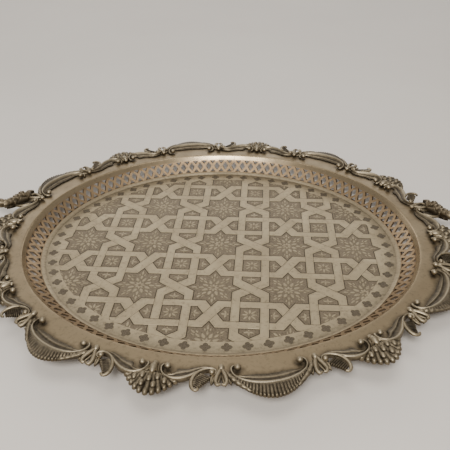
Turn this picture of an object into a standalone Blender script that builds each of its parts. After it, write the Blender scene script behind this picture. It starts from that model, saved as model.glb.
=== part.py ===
"""Oval serving tray with a pierced gallery, a cast rococo border and two fixed loop handles.

Metres, +Z up. The origin is under the middle of the base, +X runs to the right handle and the
base underside lies at height zero. Everything outside the floor is laid out in rim coordinates:
a length along the fold oval, a distance out from it, and a height.
"""
import math

import bmesh
import bpy
import numpy as np
from mathutils import Vector

# Fold oval, where the gallery meets the flange
FOLD_HALF_LENGTH = 0.160
FOLD_HALF_WIDTH = 0.138

# Sheet metal
BASE_SHEET = 0.0012
GALLERY_SHEET = 0.0010
FLANGE_SHEET = 0.0012
SEAT_GAP = 0.0003

# Well: depth from flange top to floor, lean of the gallery, edge of the base beyond its foot
WELL_DEPTH = 0.0145
GALLERY_LEAN = 0.0135
BASE_MARGIN = 0.0008

# Piercing of the gallery: crossed bars with plain margins at the foot and the top
LATTICE_PITCH = 0.0090
LATTICE_BAR = 0.0019
FOOT_MARGIN = 0.0016
TOP_MARGIN = 0.0060

# Border layout: the short bay at each end, the gap between castings, their backing and ridges
SHORT_BAY = 0.0782
CASTING_GAP = 0.0010
CASTING_BACK = 0.0030
SHELL_OUT = 0.0344
SCROLL_OUT = 0.0361
SHELL_RIDGE = 0.0042
SCROLL_RIDGE = 0.0046
RIDGE_SINK = 0.0005
LONG_BAYS = 3

# Reach of the flange beyond the fold, in the valleys and under each kind of casting
VALLEY_REACH = 0.0135
SHELL_REACH = 0.0185
SCROLL_REACH = 0.0255
SHELL_SWELL = 0.0190
SCROLL_SWELL = 0.0240

# Handles
TAB_MARGIN = 0.0048
TAB_SWELL = 0.0105
FOOT_STATION = 0.0335
FOOT_REACH = 0.0272
FOOT_HALF_LENGTH = 0.0070
FOOT_HALF_WIDTH = 0.0038
FOOT_HEIGHT = 0.0062
GRIP_DIAMETER = 0.0056
GRIP_REACH = 0.0685
GRIP_HALF_WIDTH = 0.0335
ARM_SWELL = 1.30
ARM_HEIGHT = 0.0046
GRIP_HEIGHT = 0.0095

# Handle screws
SHANK_DIAMETER = 0.0028
HEAD_DIAMETER = 0.0052
HEAD_HEIGHT = 0.0014
SHANK_GRIP = 0.0035
SCREW_SIDES = 12

# Smoothness
OVAL_SEGMENTS = 84
FLANGE_SEGMENTS = 140
OVAL_SAMPLES = 7200
OUTLINE_STEPS = 1
BAR_STEPS = 2
WELD = 0.000005

# Half outlines and ridges of the castings, mirrored about the middle. Each point is a share of
# the casting's half length along the rim and a share of its reach beyond the fold.
SHELL_OUTLINE = (
    (0.00, 0.276), (0.12, 0.253), (0.24, 0.285), (0.33, 0.407), (0.53, 0.349),
    (0.73, 0.244), (0.90, 0.212), (0.97, 0.308), (0.96, 0.538), (0.87, 0.590),
    (0.79, 0.459), (0.71, 0.523), (0.65, 0.741), (0.56, 0.741), (0.50, 0.605),
    (0.38, 0.651), (0.29, 0.785), (0.16, 0.913), (0.00, 1.000),
)
SHELL_SCROLL = (
    (0.19, 0.314), (0.14, 0.384), (0.17, 0.480), (0.32, 0.547), (0.51, 0.488),
    (0.69, 0.343), (0.90, 0.285),
)
SCROLL_OUTLINE = (
    (0.00, 0.521), (0.22, 0.504), (0.42, 0.443), (0.55, 0.355), (0.61, 0.249),
    (0.73, 0.177), (0.88, 0.202), (0.95, 0.310), (0.95, 0.499), (0.88, 0.637),
    (0.66, 0.737), (0.44, 0.853), (0.22, 0.961), (0.00, 1.000),
)
SCROLL_ARCH = ((0.74, 0.249), (0.86, 0.338), (0.72, 0.465), (0.44, 0.573), (0.00, 0.620))

# Half of the grip beyond its foot: shares of its reach past the fold and of its half width
GRIP_ROUTE = ((0.438, 0.782), (0.613, 0.782), (0.818, 1.000), (0.964, 0.806))

FLOOR_TOP = BASE_SHEET
FLANGE_TOP = FLOOR_TOP + WELL_DEPTH
FLANGE_UNDER = FLANGE_TOP - FLANGE_SHEET
GALLERY_FOOT = FLOOR_TOP + SEAT_GAP
GALLERY_TOP = FLANGE_UNDER - SEAT_GAP
GALLERY_RISE = GALLERY_TOP - GALLERY_FOOT
GALLERY_SLANT = math.hypot(GALLERY_RISE, GALLERY_LEAN)
CASTING_SEAT = FLANGE_TOP + SEAT_GAP
TAB_REACH = FOOT_REACH + TAB_MARGIN


def oval_point(angle):
    return FOLD_HALF_LENGTH * np.cos(angle), FOLD_HALF_WIDTH * np.sin(angle)


ARC_ANGLES = np.linspace(0.0, math.tau, OVAL_SAMPLES + 1)
ARC_STEPS = np.hypot(*np.diff(oval_point(ARC_ANGLES), axis=1))
ARC_LENGTHS = np.concatenate(([0.0], np.cumsum(ARC_STEPS)))
PERIMETER = float(ARC_LENGTHS[-1])
LONG_BAY = (PERIMETER / 2 - SHORT_BAY) / LONG_BAYS
SHELL_HALF = (SHORT_BAY - CASTING_GAP) / 2
SCROLL_HALF = LONG_BAY / 2 - SHELL_HALF - CASTING_GAP


def rim_point(along, out, height):
    """Turn rim coordinates into a point of the tray."""
    angle = np.interp(along % PERIMETER, ARC_LENGTHS, ARC_ANGLES)
    normal = Vector((FOLD_HALF_WIDTH * math.cos(angle), FOLD_HALF_LENGTH * math.sin(angle), 0.0))
    return Vector((*oval_point(angle), height)) + out * normal.normalized()


def shell_stations():
    """Places of the eight shells along the fold, counterclockwise from the right handle."""
    half = [0.0] + [SHORT_BAY + bay * LONG_BAY for bay in range(LONG_BAYS)]
    return half + [PERIMETER / 2 + station for station in half]


def scroll_stations():
    """Places of the six C-scrolls, in the middle of the long bays."""
    half = [SHORT_BAY + (bay + 0.5) * LONG_BAY for bay in range(LONG_BAYS)]
    return half + [PERIMETER / 2 + station for station in half]


def foot_stations():
    """Places of the four handle feet, by the end that they belong to and their side."""
    return {
        "right_back": FOOT_STATION,
        "right_front": PERIMETER - FOOT_STATION,
        "left_front": PERIMETER / 2 + FOOT_STATION,
        "left_back": PERIMETER / 2 - FOOT_STATION,
    }


def collection(name):
    group = bpy.data.collections.new(name)
    bpy.context.scene.collection.children.link(group)
    return group


def clear_scene():
    for obj in list(bpy.data.objects):
        bpy.data.objects.remove(obj)


def helper(name, data):
    """An object that only helps to shape a part, removed once its mesh is taken."""
    obj = bpy.data.objects.new(name, data)
    obj.hide_render = True
    obj.display_type = "WIRE"
    HELPERS.objects.link(obj)
    return obj


def evaluated_mesh(obj):
    depsgraph = bpy.context.evaluated_depsgraph_get()
    depsgraph.update()
    return bpy.data.meshes.new_from_object(obj.evaluated_get(depsgraph))


def edit_mesh(mesh, edit):
    """Run one editing function on a mesh."""
    work = bmesh.new()
    work.from_mesh(mesh)
    edit(work)
    work.to_mesh(mesh)
    work.free()
    return mesh


def weld(work):
    bmesh.ops.remove_doubles(work, verts=work.verts, dist=WELD)
    bmesh.ops.recalc_face_normals(work, faces=work.faces)


def triangulate(work):
    bmesh.ops.triangulate(work, faces=work.faces)


def curve_mesh(curve):
    """Mesh of a curve, with its loose caps welded on."""
    obj = helper(curve.name, curve)
    mesh = evaluated_mesh(obj)
    bpy.data.objects.remove(obj)
    return edit_mesh(mesh, weld)


def flat_curve(name, loops, thickness=0.0, smooth=0):
    """A filled flat outline, with any further loops as holes, rounded in a number of steps."""
    curve = bpy.data.curves.new(name, "CURVE")
    curve.dimensions = "2D"
    curve.fill_mode = "BOTH"
    curve.extrude = thickness / 2
    curve.resolution_u = max(smooth, 1)
    for loop in loops:
        spline = curve.splines.new("BEZIER" if smooth else "POLY")
        points = spline.bezier_points if smooth else spline.points
        points.add(len(loop) - 1)
        for point, place in zip(points, loop):
            if smooth:
                point.co = (*place, 0.0)
                point.handle_left_type = "AUTO"
                point.handle_right_type = "AUTO"
            else:
                point.co = (*place, 0.0, 1.0)
        spline.use_cyclic_u = True
    return curve


def tube_curve(name, path, diameter, smooth, sides, radii=None):
    """A round bar through the points of a path, with filled ends."""
    curve = bpy.data.curves.new(name, "CURVE")
    curve.dimensions = "3D"
    curve.bevel_depth = diameter / 2
    curve.bevel_resolution = sides
    curve.use_fill_caps = True
    curve.resolution_u = smooth
    spline = curve.splines.new("BEZIER")
    spline.bezier_points.add(len(path) - 1)
    for index, place in enumerate(path):
        point = spline.bezier_points[index]
        point.co = place
        point.handle_left_type = "AUTO"
        point.handle_right_type = "AUTO"
        point.radius = radii[index] if radii else 1.0
    return curve


def boolean(body, others, operation):
    """One mesh: the body joined with other meshes, or cut by them."""
    base = helper("body", body)
    tools = [helper(f"tool_{index}", mesh) for index, mesh in enumerate(others)]
    for tool in tools:
        step = base.modifiers.new(tool.name, "BOOLEAN")
        step.operation = operation
        step.solver = "EXACT"
        step.object = tool
    mesh = evaluated_mesh(base)
    for obj in (base, *tools):
        bpy.data.objects.remove(obj)
    return mesh


def metal(name, colour, roughness):
    material = bpy.data.materials.new(name)
    material.use_nodes = True
    shader = material.node_tree.nodes["Principled BSDF"]
    shader.inputs["Base Color"].default_value = (*colour, 1.0)
    shader.inputs["Metallic"].default_value = 1.0
    shader.inputs["Roughness"].default_value = roughness
    return material


def add_part(name, mesh, material, smooth_angle=math.radians(35)):
    mesh.name = name
    mesh.materials.clear()
    mesh.materials.append(material)
    mesh.shade_smooth()
    mesh.set_sharp_from_angle(angle=smooth_angle)
    obj = bpy.data.objects.new(name, mesh)
    obj.parent = TRAY_ORIGIN
    PARTS.objects.link(obj)
    return obj


def wall_width():
    """Thickness of the leaning gallery wall, measured level."""
    return GALLERY_SHEET * GALLERY_SLANT / GALLERY_RISE


def oval_loop(out, segments):
    """Flat loop at a distance out from the fold."""
    lengths = [k * PERIMETER / segments for k in range(segments)]
    return [rim_point(along, out, 0.0).xy for along in lengths]


def base_plate(material):
    """Oval floor sheet, which the gallery stands on all round."""
    edge = wall_width() + BASE_MARGIN - GALLERY_LEAN
    loop = oval_loop(edge, OVAL_SEGMENTS)
    mesh = curve_mesh(flat_curve("base_plate", (loop,), BASE_SHEET))
    obj = add_part("base_plate", mesh, material)
    obj.location.z = FLOOR_TOP - BASE_SHEET / 2


def pierced_tile(pitch):
    """Flat sheet of one lattice period: two triangles and the diamond beside them."""
    half = pitch / 2
    low = FOOT_MARGIN
    high = GALLERY_SLANT - TOP_MARGIN
    middle = (low + high) / 2
    rise = (high - low) / 2
    diagonal = math.hypot(half, rise)
    aside = LATTICE_BAR / 2 * diagonal / rise
    above = LATTICE_BAR / 2 * diagonal / half
    edge = [(-half, 0.0), (-half, low), (0.0, middle), (-half, high), (-half, GALLERY_SLANT)]
    outline = edge + [(x + pitch, y) for x, y in reversed(edge)]
    lower = [(aside - half, low), (half - aside, low), (0.0, middle - above)]
    upper = [(aside - half, high), (half - aside, high), (0.0, middle + above)]
    diamond = [(half, low + above), (pitch - aside, middle), (half, high - above), (aside, middle)]
    return curve_mesh(flat_curve("pierced_tile", (outline, lower, upper, diamond)))


def gallery_strip(name, start, material):
    """Half of the gallery: lattice tiles in a row, thickened and bent to the leaning oval."""
    length = PERIMETER / 2 - SEAT_GAP
    count = round(length / LATTICE_PITCH)
    pitch = length / count
    tile = pierced_tile(pitch)
    strip = bmesh.new()
    for index in range(count):
        known = len(strip.verts)
        strip.from_mesh(tile)
        strip.verts.ensure_lookup_table()
        bmesh.ops.translate(strip, verts=strip.verts[known:], vec=(index * pitch, 0.0, 0.0))
    bmesh.ops.remove_doubles(strip, verts=strip.verts, dist=WELD)
    grown = bmesh.ops.extrude_face_region(strip, geom=strip.faces[:])
    outer = [item for item in grown["geom"] if isinstance(item, bmesh.types.BMVert)]
    bmesh.ops.translate(strip, verts=outer, vec=(0.0, 0.0, wall_width()))
    bmesh.ops.recalc_face_normals(strip, faces=strip.faces)
    for vert in strip.verts:
        share = vert.co.y / GALLERY_SLANT
        out = (share - 1) * GALLERY_LEAN + vert.co.z
        vert.co = rim_point(start + vert.co.x, out, GALLERY_FOOT + share * GALLERY_RISE)
    mesh = bpy.data.meshes.new(name)
    strip.to_mesh(mesh)
    strip.free()
    add_part(name, mesh, material)


def flange_reach(along):
    """How far the flange runs out under the castings and the handle feet."""
    swells = [(station, SHELL_SWELL, SHELL_REACH) for station in shell_stations()]
    swells += [(station, SCROLL_SWELL, SCROLL_REACH) for station in scroll_stations()]
    swells += [(station, TAB_SWELL, TAB_REACH) for station in foot_stations().values()]
    reach = VALLEY_REACH
    for station, width, peak in swells:
        away = abs((along - station + PERIMETER / 2) % PERIMETER - PERIMETER / 2)
        if away < width:
            crown = math.sqrt(math.cos(away / width * math.pi / 2))
            reach = max(reach, VALLEY_REACH + (peak - VALLEY_REACH) * crown)
    return reach


def screw_loop(along):
    """Clearance hole of a handle screw, as a flat loop."""
    radius = SHANK_DIAMETER / 2 + SEAT_GAP
    centre = rim_point(along, FOOT_REACH, 0.0)
    turns = [step * math.tau / SCREW_SIDES for step in range(SCREW_SIDES)]
    return [(centre.x + radius * math.cos(a), centre.y + radius * math.sin(a)) for a in turns]


def rim_flange(material):
    """Flat scalloped ring between the fold and the border."""
    inner = oval_loop(0.0, OVAL_SEGMENTS)
    lengths = [k * PERIMETER / FLANGE_SEGMENTS for k in range(FLANGE_SEGMENTS)]
    outer = [rim_point(along, flange_reach(along), 0.0).xy for along in lengths]
    holes = [screw_loop(along) for along in foot_stations().values()]
    mesh = curve_mesh(flat_curve("rim_flange", (outer, inner, *holes), FLANGE_SHEET))
    obj = add_part("rim_flange", mesh, material)
    obj.location.z = FLANGE_TOP - FLANGE_SHEET / 2


def mirrored(half):
    """A half outline closed by its mirror image about the middle."""
    return list(half) + [(-share, out) for share, out in reversed(half[1:-1])]


def casting_blank(name, outline, ridges, half_length, reach, ridge):
    """A straight casting: its backing outline with round ridges along its scrolls."""
    level = CASTING_BACK / 2 - RIDGE_SINK
    loop = [(share * half_length, out * reach) for share, out in mirrored(outline)]
    body = curve_mesh(flat_curve(name, (loop,), CASTING_BACK, OUTLINE_STEPS))
    tools = []
    for path in ridges:
        points = [(share * half_length, out * reach, level) for share, out in path]
        tools.append(curve_mesh(tube_curve(name + "_ridge", points, ridge, BAR_STEPS, 1)))
    whole = edit_mesh(boolean(body, tools, "UNION"), weld)
    return edit_mesh(whole, triangulate)


def bent_copy(blank, along, seat):
    """A straight casting bent to the rim at a station, its underside on the seat."""
    mesh = blank.copy()
    for vert in mesh.vertices:
        x, out, height = vert.co
        vert.co = rim_point(along - x, out, seat + height)
    return mesh


def border(material_shell, material_scroll):
    """Shell and scroll castings around the rim."""
    right = list(SHELL_SCROLL)
    left = [(-share, out) for share, out in right]
    shell = casting_blank("shell", SHELL_OUTLINE, (right, left), SHELL_HALF, SHELL_OUT, SHELL_RIDGE)
    arch = [(-share, out) for share, out in SCROLL_ARCH[:-1]] + list(reversed(SCROLL_ARCH))
    scroll = casting_blank("scroll", SCROLL_OUTLINE, (arch,), SCROLL_HALF, SCROLL_OUT, SCROLL_RIDGE)
    seat = CASTING_SEAT + CASTING_BACK / 2
    for index, along in enumerate(shell_stations(), 1):
        add_part(f"border_shell_{index}", bent_copy(shell, along, seat), material_shell)
    for index, along in enumerate(scroll_stations(), 1):
        add_part(f"border_scroll_{index}", bent_copy(scroll, along, seat), material_scroll)


def foot_pad(along):
    """Leaf-shaped foot of a handle, on its tab of the flange."""
    length = FOOT_HALF_LENGTH
    width = FOOT_HALF_WIDTH
    loop = [(-length, 0.0), (-0.4 * length, width), (0.4 * length, width)]
    loop += [(-x, -y) for x, y in loop]
    loop = [(x, FOOT_REACH + y) for x, y in loop]
    pad = curve_mesh(flat_curve("foot_pad", (loop,), FOOT_HEIGHT, BAR_STEPS))
    return bent_copy(pad, along, CASTING_SEAT + FOOT_HEIGHT / 2)


def screw_bore(along):
    """Cutter for the blind hole of a screw in a handle foot."""
    work = bmesh.new()
    radius = SHANK_DIAMETER / 2 + SEAT_GAP
    depth = 2 * (SHANK_GRIP + SEAT_GAP)
    bmesh.ops.create_cone(work, cap_ends=True, segments=SCREW_SIDES, radius1=radius,
                          radius2=radius, depth=depth)
    bmesh.ops.translate(work, verts=work.verts, vec=rim_point(along, FOOT_REACH, CASTING_SEAT))
    mesh = bpy.data.meshes.new("screw_bore")
    work.to_mesh(mesh)
    work.free()
    return mesh


def loop_handle(name, turn, material):
    """Cast loop handle: a bowed grip between two leaf feet."""
    feet = (FOOT_STATION, PERIMETER - FOOT_STATION)
    low = FLANGE_TOP + ARM_HEIGHT
    high = FLANGE_TOP + GRIP_HEIGHT
    back = [rim_point(feet[0], FOOT_REACH, low)]
    heights = np.linspace(low, high, len(GRIP_ROUTE))
    for (past, aside), height in zip(GRIP_ROUTE, heights):
        across = aside * GRIP_HALF_WIDTH
        back.append(Vector((FOLD_HALF_LENGTH + past * GRIP_REACH, across, height)))
    front = [Vector((place.x, -place.y, place.z)) for place in reversed(back)]
    middle = [Vector((FOLD_HALF_LENGTH + GRIP_REACH, 0.0, high))]
    half_radii = np.linspace(ARM_SWELL, 1.0, len(back))
    radii = [*half_radii, 1.0, *reversed(half_radii)]
    grip = curve_mesh(tube_curve(name, back + middle + front, GRIP_DIAMETER, BAR_STEPS, 2, radii))
    whole = boolean(grip, [foot_pad(along) for along in feet], "UNION")
    drilled = boolean(whole, [screw_bore(along) for along in feet], "DIFFERENCE")
    obj = add_part(name, edit_mesh(drilled, weld), material)
    obj.rotation_euler.z = turn


def handle_screw(name, along, material):
    """Pan-head screw from below, through the flange tab into the handle foot."""
    shank = SHANK_DIAMETER / 2
    head = HEAD_DIAMETER / 2
    tip = FLANGE_SHEET + 2 * SEAT_GAP + SHANK_GRIP
    profile = [(0.0, tip), (shank, tip), (shank, 0.0), (head, 0.0), (head, -HEAD_HEIGHT / 2)]
    profile += [(head / 2, -HEAD_HEIGHT), (0.0, -HEAD_HEIGHT)]
    work = bmesh.new()
    verts = [work.verts.new((radius, 0.0, height)) for radius, height in profile]
    for start, end in zip(verts, verts[1:]):
        work.edges.new((start, end))
    mesh = bpy.data.meshes.new(name)
    work.to_mesh(mesh)
    work.free()
    obj = add_part(name, mesh, material)
    obj.location = rim_point(along, FOOT_REACH, FLANGE_UNDER - SEAT_GAP)
    turned = obj.modifiers.new("turned", "SCREW")
    turned.steps = SCREW_SIDES
    turned.render_steps = SCREW_SIDES
    turned.use_merge_vertices = True
    turned.merge_threshold = WELD


clear_scene()
PARTS = collection("serving_tray")
HELPERS = collection("construction")
TRAY_ORIGIN = bpy.data.objects.new("tray_origin", None)
PARTS.objects.link(TRAY_ORIGIN)

base_plate(metal("engraved_floor", (0.46, 0.40, 0.30), 0.42))
gallery_metal = metal("gallery_plate", (0.50, 0.43, 0.32), 0.36)
gallery_strip("gallery_strip_right", -PERIMETER / 4, gallery_metal)
gallery_strip("gallery_strip_left", PERIMETER / 4, gallery_metal)
rim_flange(metal("flange_plate", (0.54, 0.47, 0.36), 0.34))
border(metal("shell_casting", (0.44, 0.38, 0.27), 0.38), metal("scroll_casting", (0.45, 0.39, 0.28), 0.38))
handle_metal = metal("handle_casting", (0.42, 0.36, 0.26), 0.36)
loop_handle("handle_right", 0.0, handle_metal)
loop_handle("handle_left", math.pi, handle_metal)
screw_metal = metal("screw_brass", (0.52, 0.42, 0.24), 0.40)
for place, station in foot_stations().items():
    handle_screw("handle_screw_" + place, station, screw_metal)
bpy.data.collections.remove(HELPERS)
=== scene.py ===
import math

import bmesh
import bpy
import numpy as np
from mathutils import Matrix, Vector


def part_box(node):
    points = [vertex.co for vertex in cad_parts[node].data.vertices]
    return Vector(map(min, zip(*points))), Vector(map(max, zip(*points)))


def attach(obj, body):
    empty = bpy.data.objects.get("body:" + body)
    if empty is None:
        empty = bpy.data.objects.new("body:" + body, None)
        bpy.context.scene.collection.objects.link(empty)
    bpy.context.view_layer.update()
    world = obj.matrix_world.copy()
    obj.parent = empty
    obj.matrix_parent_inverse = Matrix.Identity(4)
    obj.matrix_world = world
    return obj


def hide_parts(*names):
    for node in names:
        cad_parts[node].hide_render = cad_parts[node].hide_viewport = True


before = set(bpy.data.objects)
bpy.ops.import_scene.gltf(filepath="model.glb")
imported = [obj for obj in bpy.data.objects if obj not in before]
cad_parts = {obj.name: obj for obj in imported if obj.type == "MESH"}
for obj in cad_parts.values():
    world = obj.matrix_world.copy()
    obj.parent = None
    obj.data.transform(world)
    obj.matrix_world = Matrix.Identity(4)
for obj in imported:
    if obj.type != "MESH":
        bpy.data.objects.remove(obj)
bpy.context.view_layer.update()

MM = 0.001
PITCH = 56 * MM

# Sizes shared with the CAD part
FOLD_HALF_LENGTH = 160 * MM
FOLD_HALF_WIDTH = 138 * MM
SHORT_BAY = 78.2 * MM
LONG_BAYS = 3
GALLERY_LEAN = 13.5 * MM
GALLERY_SHEET = 1.0 * MM
SEAT_GAP = 0.3 * MM
FOOT_STATION = 33.5 * MM
FOOT_REACH = 27.2 * MM

# Levels from the frame
BASE_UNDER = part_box("base_plate")[0][2]
FLOOR_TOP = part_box("base_plate")[1][2]
FLANGE_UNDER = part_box("rim_flange")[0][2]
FLANGE_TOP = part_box("rim_flange")[1][2]
GALLERY_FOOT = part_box("gallery_strip_right")[0][2]
GALLERY_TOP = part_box("gallery_strip_right")[1][2]
GALLERY_SLANT = math.hypot(GALLERY_TOP - GALLERY_FOOT, GALLERY_LEAN)
WALL_WIDTH = GALLERY_SHEET * GALLERY_SLANT / (GALLERY_TOP - GALLERY_FOOT)

# Photograph: focal length in pixels of a 450 pixel frame, and the camera's place
FRAME_PIXELS = 450
FOCAL_PIXELS = 544.34
SENSOR = 36.0
CAMERA_PLACE = Vector((33.5 * MM, -371.6 * MM, 270.3 * MM))
CAMERA_AZIMUTH = math.radians(4.4525)
CAMERA_ELEVATION = math.radians(33.789)
CAMERA_ROLL = math.radians(-0.8989)

# Fold oval by length
OVAL_SAMPLES = 7200
ARC_ANGLES = np.linspace(0.0, math.tau, OVAL_SAMPLES + 1)
ARC_PLACES = np.stack((FOLD_HALF_LENGTH * np.cos(ARC_ANGLES), FOLD_HALF_WIDTH * np.sin(ARC_ANGLES)))
ARC_LENGTHS = np.concatenate(([0.0], np.cumsum(np.hypot(*np.diff(ARC_PLACES, axis=1)))))
PERIMETER = float(ARC_LENGTHS[-1])
LONG_BAY = (PERIMETER / 2 - SHORT_BAY) / LONG_BAYS


def rim_points(along, out, height):
    """Turn arrays of rim coordinates into points of the tray."""
    angle = np.interp(np.asarray(along) % PERIMETER, ARC_LENGTHS, ARC_ANGLES)
    cosine = np.cos(angle)
    sine = np.sin(angle)
    size = np.hypot(FOLD_HALF_WIDTH * cosine, FOLD_HALF_LENGTH * sine)
    x = FOLD_HALF_LENGTH * cosine + out * FOLD_HALF_WIDTH * cosine / size
    y = FOLD_HALF_WIDTH * sine + out * FOLD_HALF_LENGTH * sine / size
    return np.stack(np.broadcast_arrays(x, y, height), axis=-1)


def short_way(length):
    """A length along the fold, taken the short way round."""
    return (length + PERIMETER / 2) % PERIMETER - PERIMETER / 2


def round_rim(count):
    """Even lengths along the fold, once round, with the start not repeated."""
    return np.arange(count) * PERIMETER / count


# Mesh building, with the angles in degrees up to which edges are shaded smooth

PLAIN_SMOOTH = 40
ENGRAVED_SMOOTH = 25
PETAL_SMOOTH = 60
PIERCED_SMOOTH = 30
CAST_SMOOTH = 50
PATH_FINENESS = 12


def raised(flat, height):
    """Flat points with their heights."""
    return np.concatenate((flat, height[..., None]), axis=-1)


def unit_length(ways):
    """Directions made one long."""
    return ways / np.linalg.norm(ways, axis=-1, keepdims=True)


def turned(points, quarters=1):
    """Flat points or directions turned to the left by quarter turns."""
    for _ in range(quarters):
        points = np.stack((-points[..., 1], points[..., 0]), axis=-1)
    return points


class Sculpt:
    """Grids of points gathered into one mesh, with a value at each point that darkens the colour for patina
    and painted shade, or below zero lightens it for painted highlight and wear.
    """

    def __init__(self):
        self.points = np.zeros((0, 3))
        self.tarnish_and_shading = np.zeros(0)
        self.faces = []

    def grid(self, points, tarnish_and_shading=0.0, wrap=False, cap=True):
        """Add a grid of rows and columns. Wrapped columns make a tube, capped at its ends."""
        shape = points.shape[:2]
        index = len(self.points) + np.arange(shape[0] * shape[1]).reshape(shape)
        self.points = np.concatenate((self.points, points.reshape(-1, 3)))
        self.tarnish_and_shading = np.concatenate((self.tarnish_and_shading, np.broadcast_to(tarnish_and_shading, shape).ravel()))
        near, beside = (index, np.roll(index, -1, axis=1)) if wrap else (index[:, :-1], index[:, 1:])
        quads = np.stack((near[:-1], beside[:-1], beside[1:], near[1:]), axis=-1)
        self.faces += quads.reshape(-1, 4).tolist()
        if wrap and cap:
            self.faces += index[[0, -1]].tolist()

    def merge(self, other, mirror=False, shift=0.0):
        """Add another sculpt, or its mirror image about the middle, shifted along the rim."""
        first = len(self.points)
        points = other.points * (-1, 1, 1) if mirror else other.points
        self.points = np.concatenate((self.points, points + (shift, 0, 0)))
        self.tarnish_and_shading = np.concatenate((self.tarnish_and_shading, other.tarnish_and_shading))
        self.faces += [[index + first for index in face] for face in other.faces]

    def bent(self, along, level):
        """A copy bent round the rim at a station, on a level."""
        copy = Sculpt()
        copy.merge(self)
        x, out, rise = self.points.T
        copy.points = rim_points(along - x, out, level + rise)
        return copy


def make_piece(name, sculpt, material, nodes=(), smooth=PLAIN_SMOOTH):
    """A mesh piece of the tray, on the root body, that stands for its CAD nodes."""
    mesh = bpy.data.meshes.new(name)
    mesh.from_pydata(sculpt.points.tolist(), [], sculpt.faces)
    values = mesh.attributes.new("tarnish_and_shading", "FLOAT", "POINT")
    values.data.foreach_set("value", sculpt.tarnish_and_shading.astype(np.float32))
    work = bmesh.new()
    work.from_mesh(mesh)
    bmesh.ops.recalc_face_normals(work, faces=work.faces)
    work.to_mesh(mesh)
    work.free()
    mesh.materials.append(material)
    mesh.shade_smooth()
    mesh.set_sharp_from_angle(angle=math.radians(smooth))
    piece = bpy.data.objects.new(name, mesh)
    bpy.context.scene.collection.objects.link(piece)
    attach(piece, "root")
    if nodes:
        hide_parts(*nodes)
    return piece


def smooth_path(points, count):
    """A smooth curve through points, read at even steps."""
    points = np.asarray(points, dtype=float)
    ends = np.vstack((2 * points[0] - points[1], points, 2 * points[-1] - points[-2]))
    places = np.linspace(0, len(points) - 1, PATH_FINENESS * len(points))
    index = np.minimum(places.astype(int), len(points) - 2)
    part = (places - index)[:, None]
    a, b, c, d = (ends[index + step] for step in range(4))
    curve = 0.5 * (2 * b + (c - a) * part + (2 * a - 5 * b + 4 * c - d) * part ** 2
                   + (3 * b - a - 3 * c + d) * part ** 3)
    steps = np.linalg.norm(np.diff(curve, axis=0), axis=1)
    length = np.concatenate(([0.0], np.cumsum(steps)))
    wanted = np.linspace(0, length[-1], count)
    return np.stack([np.interp(wanted, length, column) for column in curve.T], axis=1)


def spread(values, count):
    """A few values eased to an even row of numbers."""
    return np.interp(np.linspace(0, len(values) - 1, count), range(len(values)), values)


# Materials: colours, the scale and detail of each noise, and the ranges that it is read over

DARK = (0.030, 0.022, 0.014)
# Pale tone mixed in where the point value is below zero: painted highlight and wear
WEAR_AND_HIGHLIGHT_TONE = (0.640, 0.560, 0.420)
NOISE_ROUGHNESS = 0.55
BUMP_DEPTH = 0.2 * MM
MIDDLE_RANGE = (0.3, 0.7)

PLATE_METALLIC = 0.92
BLOTCH_NOISE = (38.0, 5.0)
BLOTCH_RANGE = (0.35, 0.68)
SPECK_NOISE = (420.0, 3.0)
SPECK_RANGE = (0.56, 0.78)
GRAIN_NOISE = (1900.0, 2.0)
UNEVEN_STAIN = 0.12
SMOOTHER = 0.07
ROUGHER = 0.09

GROUND_METALLIC = 0.85
DOT_SCALE = 900.0
DOT_RANGE = (0.15, 0.6)
DOT_PALE = 0.55
DOT_BUMP = 0.35
DOT_ROUGHNESS = (0.62, 0.46)
RUB_NOISE = (14.0, 4.0)
RUB_RANGE = (0.40, 0.75)
RUB_PALE = 0.50

STUDIO_NOISE = (3.0, 4.0)
STUDIO_TONES = ((0.66, 0.60, 0.53), (0.70, 0.64, 0.565))
STUDIO_ROUGHNESS = 0.6


def shader_tree(name):
    """A new material with its nodes, its shader and the place on the object."""
    material = bpy.data.materials.new(name)
    material.use_nodes = True
    tree = material.node_tree
    place = new_node(tree, "TexCoord", {}).outputs["Object"]
    return material, tree, tree.nodes["Principled BSDF"], place


def feed(tree, node, inputs):
    """Give a node its inputs, each a value or a socket."""
    for label, value in inputs.items():
        if isinstance(value, bpy.types.NodeSocket):
            tree.links.new(value, node.inputs[label])
        else:
            node.inputs[label].default_value = value
    return node


def new_node(tree, kind, inputs):
    """A new shader node with its inputs."""
    return feed(tree, tree.nodes.new("ShaderNode" + kind), inputs)


def noise(tree, place, scale, detail):
    """Noise at a place on the object."""
    inputs = {"Vector": place, "Scale": scale, "Detail": detail, "Roughness": NOISE_ROUGHNESS}
    return new_node(tree, "TexNoise", inputs).outputs["Fac"]


def remap(tree, value, low, high, start=0.0, end=1.0):
    """A value read over one range and spread over another."""
    inputs = {"Value": value, "From Min": low, "From Max": high, "To Min": start, "To Max": end}
    return new_node(tree, "MapRange", inputs).outputs["Result"]


def blend_colour(tree, share, first, second):
    """Mix two colours, each a colour or a socket, by a share."""
    node = new_node(tree, "Mix", {"Factor": share})
    node.data_type = "RGBA"
    for label, colour in (("A", first), ("B", second)):
        socket = [item for item in node.inputs if item.name == label and item.type == "RGBA"][0]
        if isinstance(colour, tuple):
            socket.default_value = (*colour, 1.0)
        else:
            tree.links.new(colour, socket)
    return [item for item in node.outputs if item.type == "RGBA"][0]


def combine(tree, operation, first, second):
    """A sum or product of two values, each a number or a socket, kept between 0 and 1."""
    node = new_node(tree, "Math", {0: first, 1: second})
    node.operation = operation
    node.use_clamp = True
    return node.outputs[0]


def add_bump(tree, shader, height, strength):
    """Fine relief on a shader."""
    bump = new_node(tree, "Bump", {"Strength": strength, "Distance": BUMP_DEPTH, "Height": height})
    feed(tree, shader, {"Normal": bump.outputs["Normal"]})


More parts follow.
